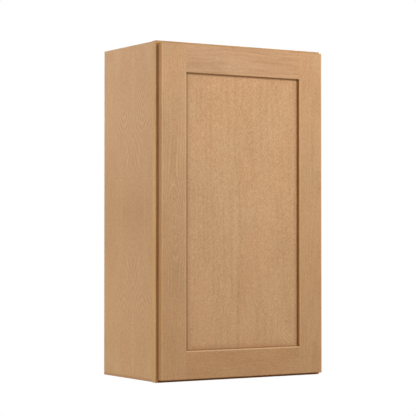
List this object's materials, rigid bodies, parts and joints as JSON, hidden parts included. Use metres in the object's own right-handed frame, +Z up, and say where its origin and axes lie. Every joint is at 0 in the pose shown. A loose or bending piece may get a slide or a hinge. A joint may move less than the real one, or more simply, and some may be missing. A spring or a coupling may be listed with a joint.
{
  "type": "hanging wall cabinet",
  "caption": "Face-frame wall cabinet with a hinged recessed-panel door, hanging rails behind its back and adjustable shelves on pins.",
  "frame": {"origin": "middle of the back face of the top hanging rail, in the plane of the wall", "axes": "+Z up, +Y into the wall, so the door faces -Y, and +X to the right of someone facing the door"},
  "size_m": [0.5334, 0.3158, 0.9144],
  "materials": {
    "stained_maple": "satin",
    "stained_maple_veneer": "satin",
    "light_maple_interior": "satin",
    "edge_band": "satin",
    "bare_wood": "matte",
    "nickel_plated_steel": "satin",
    "clear_plastic": "gloss"
  },
  "bodies": {
    "cabinet": {"side_panel_left": "stained_maple_veneer", "side_panel_right": "stained_maple_veneer", "top_panel": "light_maple_interior", "bottom_panel": "light_maple_interior", "back_panel": "light_maple_interior", "hanging_rail_top": "bare_wood", "hanging_rail_bottom": "bare_wood", "frame_stile_left": "stained_maple", "frame_stile_right": "stained_maple", "frame_rail_bottom": "stained_maple", "frame_rail_top": "stained_maple", "shelf_pin_lower_left_front": "nickel_plated_steel", "shelf_pin_lower_left_back": "nickel_plated_steel", "shelf_pin_lower_right_front": "nickel_plated_steel", "shelf_pin_lower_right_back": "nickel_plated_steel", "shelf_pin_upper_left_front": "nickel_plated_steel", "shelf_pin_upper_left_back": "nickel_plated_steel", "shelf_pin_upper_right_front": "nickel_plated_steel", "shelf_pin_upper_right_back": "nickel_plated_steel", "hinge_lower_base": "nickel_plated_steel", "hinge_lower_base_pin": "nickel_plated_steel", "hinge_lower_base_screw_a": "nickel_plated_steel", "hinge_lower_base_screw_b": "nickel_plated_steel", "hinge_upper_base": "nickel_plated_steel", "hinge_upper_base_pin": "nickel_plated_steel", "hinge_upper_base_screw_a": "nickel_plated_steel", "hinge_upper_base_screw_b": "nickel_plated_steel"},
    "hinge_links": {"hinge_lower_link": "nickel_plated_steel", "hinge_upper_link": "nickel_plated_steel"},
    "door": {"door_stile_left": "stained_maple", "door_stile_right": "stained_maple", "door_rail_bottom": "stained_maple", "door_rail_top": "stained_maple", "door_panel": "stained_maple_veneer", "door_bumper_lower": "clear_plastic", "door_bumper_upper": "clear_plastic", "hinge_lower_cup": "nickel_plated_steel", "hinge_lower_cup_pin": "nickel_plated_steel", "hinge_lower_cup_screw_a": "nickel_plated_steel", "hinge_lower_cup_screw_b": "nickel_plated_steel", "hinge_upper_cup": "nickel_plated_steel", "hinge_upper_cup_pin": "nickel_plated_steel", "hinge_upper_cup_screw_a": "nickel_plated_steel", "hinge_upper_cup_screw_b": "nickel_plated_steel"},
    "lower_shelf": {"shelf_lower": "light_maple_interior", "shelf_lower_edge_band": "edge_band"},
    "upper_shelf": {"shelf_upper": "light_maple_interior", "shelf_upper_edge_band": "edge_band"}
  },
  "joints": [
    {"name": "hinge_link_swing", "type": "hinge", "parent": "cabinet", "child": "hinge_links", "pos_m": [0.23235, -0.29755, -0.405], "axis": [0, 0, -1], "range_deg": [0, 60]},
    {"name": "door_swing", "type": "hinge", "parent": "hinge_links", "child": "door", "pos_m": [0.25115, -0.29975, -0.405], "axis": [0, 0, 1], "range_deg": [0, 165]},
    {"name": "lower_shelf_lift", "type": "slide", "parent": "cabinet", "child": "lower_shelf", "axis": [0, 0, 1], "range_m": [0, 0.032]},
    {"name": "upper_shelf_lift", "type": "slide", "parent": "cabinet", "child": "upper_shelf", "axis": [0, 0, 1], "range_m": [0, 0.032]}
  ],
  "couplings": [
    {"joint": "door_swing", "follows": "hinge_link_swing", "ratio": 2.75}
  ]
}
